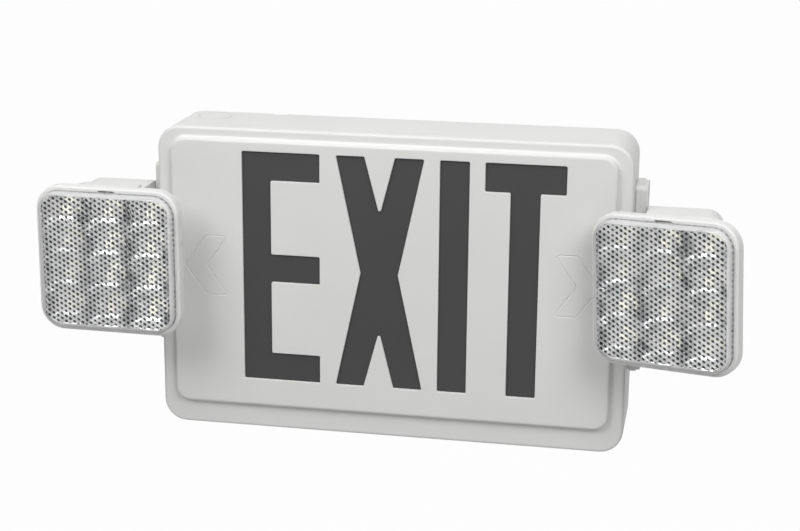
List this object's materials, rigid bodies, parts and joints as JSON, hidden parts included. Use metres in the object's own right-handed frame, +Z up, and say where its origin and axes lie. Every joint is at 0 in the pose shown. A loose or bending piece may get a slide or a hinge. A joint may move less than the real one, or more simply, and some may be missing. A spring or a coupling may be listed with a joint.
{
  "type": "emergency exit light",
  "caption": "Wall-mounted exit sign case with a stencilled legend panel, and at each side a square lamp head on a tilting arm with a ball seat.",
  "frame": {"origin": "centre of the case's back face, on the wall", "axes": "+X to the right as the sign is read, +Y into the wall, +Z up"},
  "size_m": [0.4457, 0.1132, 0.204],
  "materials": {
    "black_plastic": "moulded",
    "brass": "turned",
    "can_sleeve": "sleeve",
    "cell_wrap": "shrink-wrapped cells",
    "clear_lens": "clear moulding with small dimples",
    "coil_tape": "tape",
    "core_steel": "varnished laminations",
    "green_board": "solder mask",
    "led_white": "clear-coated",
    "metallised": "bright metallised",
    "red_button": "moulded",
    "red_lens": "clear red",
    "reflecting_white": "matt",
    "smoked_plastic": "dark smoked sheet",
    "terminal_plastic": "moulded",
    "white_board": "solder mask",
    "white_plastic": "fine satin moulding",
    "zinc_steel": "zinc plated"
  },
  "bodies": {
    "case": {"back_housing": "white_plastic", "battery_pack": "cell_wrap", "battery_strap": "zinc_steel", "board_capacitors": "can_sleeve", "board_screws": "zinc_steel", "charger_board": "green_board", "front_cover": "white_plastic", "led_strip_lower": "white_board", "led_strip_upper": "white_board", "left_side_plate": "white_plastic", "legend_diffuser": "smoked_plastic", "light_box": "reflecting_white", "pilot_lens": "red_lens", "right_side_plate": "white_plastic", "strip_leds_lower": "led_white", "strip_leds_upper": "led_white", "terminal_block": "terminal_plastic", "test_switch": "black_plastic", "transformer_coil": "coil_tape", "transformer_core": "core_steel"},
    "left_arm": {"left_arm_front": "white_plastic", "left_arm_rear": "white_plastic", "left_pivot_nut": "zinc_steel", "left_pivot_screw": "zinc_steel", "left_pivot_washer": "zinc_steel", "left_spindle": "brass", "left_spindle_nut": "zinc_steel", "left_spindle_washer": "zinc_steel"},
    "left_head": {"left_lamp_back": "white_plastic", "left_lamp_bezel": "white_plastic", "left_lamp_board": "white_board", "left_lamp_leds": "led_white", "left_lamp_lens": "clear_lens", "left_lamp_reflector": "metallised"},
    "right_arm": {"right_arm_front": "white_plastic", "right_arm_rear": "white_plastic", "right_pivot_nut": "zinc_steel", "right_pivot_screw": "zinc_steel", "right_pivot_washer": "zinc_steel", "right_spindle": "brass", "right_spindle_nut": "zinc_steel", "right_spindle_washer": "zinc_steel"},
    "right_head": {"right_lamp_back": "white_plastic", "right_lamp_bezel": "white_plastic", "right_lamp_board": "white_board", "right_lamp_leds": "led_white", "right_lamp_lens": "clear_lens", "right_lamp_reflector": "metallised"},
    "button": {"test_button": "red_button"}
  },
  "joints": [
    {"name": "left_arm_tilt", "type": "hinge", "parent": "case", "child": "left_arm", "pos_m": [-0.1635, -0.022, -0.0145], "axis": [1, 0, 0], "range_deg": [-6, 20]},
    {"name": "left_head_pan", "type": "hinge", "parent": "left_arm", "child": "left_head", "pos_m": [-0.1747, -0.0933, 0.0183], "axis": [0, 0, 1], "range_deg": [-14.5, 24.5]},
    {"name": "right_arm_tilt", "type": "hinge", "parent": "case", "child": "right_arm", "pos_m": [0.1635, -0.022, -0.0145], "axis": [1, 0, 0], "range_deg": [-6, 20]},
    {"name": "right_head_pan", "type": "hinge", "parent": "right_arm", "child": "right_head", "pos_m": [0.1747, -0.0933, 0.0183], "axis": [0, 0, 1], "range_deg": [-1.7, 37.3]},
    {"name": "test_button_press", "type": "slide", "parent": "case", "child": "button", "axis": [0, 0, 1], "range_m": [0, 0.0015], "stiffness_N_per_m": 400, "springref_m": -0.001}
  ]
}
